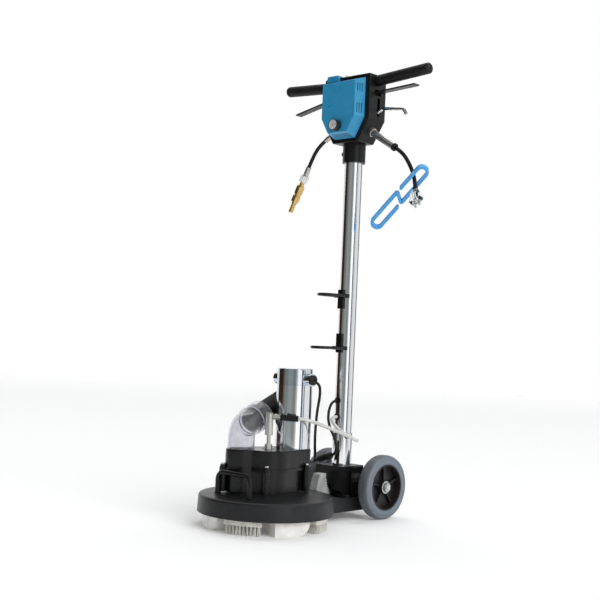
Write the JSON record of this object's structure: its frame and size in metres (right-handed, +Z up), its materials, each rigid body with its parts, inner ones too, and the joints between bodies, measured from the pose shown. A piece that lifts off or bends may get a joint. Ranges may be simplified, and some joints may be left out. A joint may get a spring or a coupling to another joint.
{
  "type": "rotary carpet cleaner",
  "caption": "Upright rotary carpet cleaning machine: round brush deck with motor, clear suction elbow, tilting chrome pole, control head with grips, and transport wheels.",
  "frame": {"origin": "on the floor under the middle of the machine", "axes": "+Z up, +Y to the rear where the wheels are, +X to the machine's right"},
  "size_m": [0.4714, 0.5376, 1.0725],
  "materials": {
    "deck_charcoal": "fine textured charcoal",
    "black_steel": "semi-gloss black paint",
    "case_black": "semi-gloss black paint",
    "zinc_steel": "bright zinc plate",
    "polished_chrome": "polished",
    "black_plastic": "matte black",
    "cast_grey": "rough cast, light grey",
    "stainless": "turned",
    "gear_steel": "machined, oiled",
    "cable_black": "matte jacket",
    "hose_white": "translucent white",
    "plate_aluminium": "machined",
    "brush_backing": "light backing",
    "nylon_tufts": "grey-white nylon",
    "shoe_white": "satin",
    "clear_plastic": "clear moulded",
    "rubber_black": "matte",
    "housing_black": "satin black, fine texture",
    "cover_blue": "gloss blue",
    "holder_blue": "satin blue",
    "fitting_white": "moulded white",
    "brass_fitting": "machined brass",
    "knob_black": "black with a spun metal face",
    "tyre_grey": "non-marking grey rubber",
    "hub_black": "moulded black"
  },
  "bodies": {
    "chassis": {"deck_shroud": "deck_charcoal", "chassis_arm": "black_steel", "gear_case_body": "case_black", "gear_case_cover": "case_black", "chassis_fasteners": "zinc_steel", "carry_handle": "black_steel", "motor_can": "polished_chrome", "motor_end_bell": "polished_chrome", "motor_brush_caps": "black_plastic", "quadrant": "cast_grey", "axle": "zinc_steel", "pivot_bolt": "zinc_steel", "head_bearings": "gear_steel", "swivel_body": "stainless", "motor_cable": "cable_black", "solution_hose": "hose_white"},
    "brush_head": {"spindle": "gear_steel", "driven_gear": "gear_steel", "rotor_plate": "plate_aluminium", "brush_blocks": "brush_backing", "bristles": "nylon_tufts", "vacuum_shoes": "shoe_white", "swivel_stem": "stainless"},
    "idler": {"idler_gears": "gear_steel"},
    "armature": {"motor_armature": "gear_steel"},
    "elbow": {"vacuum_elbow": "clear_plastic", "hose_cuff": "rubber_black"},
    "handle": {"pole_foot": "black_steel", "pole_sleeve": "polished_chrome", "pole_tube": "polished_chrome", "pole_screws": "zinc_steel", "neck_collar": "black_steel", "control_housing": "housing_black", "front_cover": "cover_blue", "handle_bar": "zinc_steel", "grips": "rubber_black", "cord_hooks": "polished_chrome", "grommets": "rubber_black", "cable_gland": "polished_chrome", "cord_reliefs": "rubber_black", "power_cord": "cable_black", "plug_body": "clear_plastic", "plug_blades": "zinc_steel", "cord_holder": "holder_blue", "hose_ferrules": "stainless", "solution_pigtail": "cable_black", "coupling_nut": "fitting_white", "hose_coupler": "brass_fitting", "lead_cable": "cable_black", "lead_connectors": "rubber_black"},
    "pawl": {"pawl": "gear_steel"},
    "trigger_left": {"trigger_left": "stainless"},
    "trigger_right": {"trigger_right": "stainless"},
    "release_lever": {"release_lever": "polished_chrome"},
    "speed_knob": {"speed_knob": "knob_black"},
    "reset_button": {"reset_button": "clear_plastic"},
    "wheel_left": {"tyre_left": "tyre_grey", "hub_left": "hub_black"},
    "wheel_right": {"tyre_right": "tyre_grey", "hub_right": "hub_black"}
  },
  "joints": [
    {"name": "head_spin", "type": "hinge", "parent": "chassis", "child": "brush_head", "pos_m": [0, -0.11535, 0.1], "axis": [0, 0, 1], "continuous": true},
    {"name": "idler_spin", "type": "hinge", "parent": "chassis", "child": "idler", "pos_m": [0, -0.07335, 0.1], "axis": [0, 0, 1], "continuous": true},
    {"name": "armature_spin", "type": "hinge", "parent": "chassis", "child": "armature", "pos_m": [0, -0.03735, 0.2], "axis": [0, 0, 1], "continuous": true},
    {"name": "elbow_turn", "type": "hinge", "parent": "chassis", "child": "elbow", "pos_m": [-0.034, -0.16735, 0.18], "axis": [0, 0, 1], "range_deg": [0, 110]},
    {"name": "handle_tilt", "type": "hinge", "parent": "chassis", "child": "handle", "pos_m": [0, 0.13865, 0.098], "axis": [-1, 0, 0], "range_deg": [0, 45], "deforming": ["solution_hose", "motor_cable"]},
    {"name": "wheel_left_spin", "type": "hinge", "parent": "chassis", "child": "wheel_left", "pos_m": [-0.085, 0.19265, 0.0762], "axis": [1, 0, 0], "continuous": true},
    {"name": "wheel_right_spin", "type": "hinge", "parent": "chassis", "child": "wheel_right", "pos_m": [0.085, 0.19265, 0.0762], "axis": [1, 0, 0], "continuous": true},
    {"name": "trigger_left_pull", "type": "hinge", "parent": "handle", "child": "trigger_left", "pos_m": [-0.06, 0.13265, 1.02], "axis": [0, 1, 0], "range_deg": [0, 11], "stiffness_Nm_per_rad": 0.4, "springref_deg": -22.92},
    {"name": "trigger_right_pull", "type": "hinge", "parent": "handle", "child": "trigger_right", "pos_m": [0.06, 0.13265, 1.02], "axis": [0, -1, 0], "range_deg": [0, 6], "stiffness_Nm_per_rad": 0.4, "springref_deg": -22.92},
    {"name": "release_pull", "type": "hinge", "parent": "handle", "child": "release_lever", "pos_m": [0.03, 0.13665, 0.985], "axis": [0, -1, 0], "range_deg": [0, 18], "stiffness_Nm_per_rad": 0.4, "springref_deg": -22.92},
    {"name": "pawl_slide", "type": "slide", "parent": "handle", "child": "pawl", "axis": [0, 1, 0], "range_m": [0, 0.006]},
    {"name": "knob_turn", "type": "hinge", "parent": "handle", "child": "speed_knob", "pos_m": [0, 0.06465, 0.938], "axis": [0, -1, 0], "range_deg": [0, 270]},
    {"name": "reset_press", "type": "slide", "parent": "handle", "child": "reset_button", "axis": [0, 0, -1], "range_m": [0, 0.0025], "stiffness_N_per_m": 400, "springref_m": -0.002}
  ],
  "couplings": [
    {"joint": "idler_spin", "follows": "head_spin", "ratio": -2.5},
    {"joint": "armature_spin", "follows": "head_spin", "ratio": 6.0714},
    {"joint": "pawl_slide", "follows": "release_pull", "m_per_rad": 0.019}
  ]
}
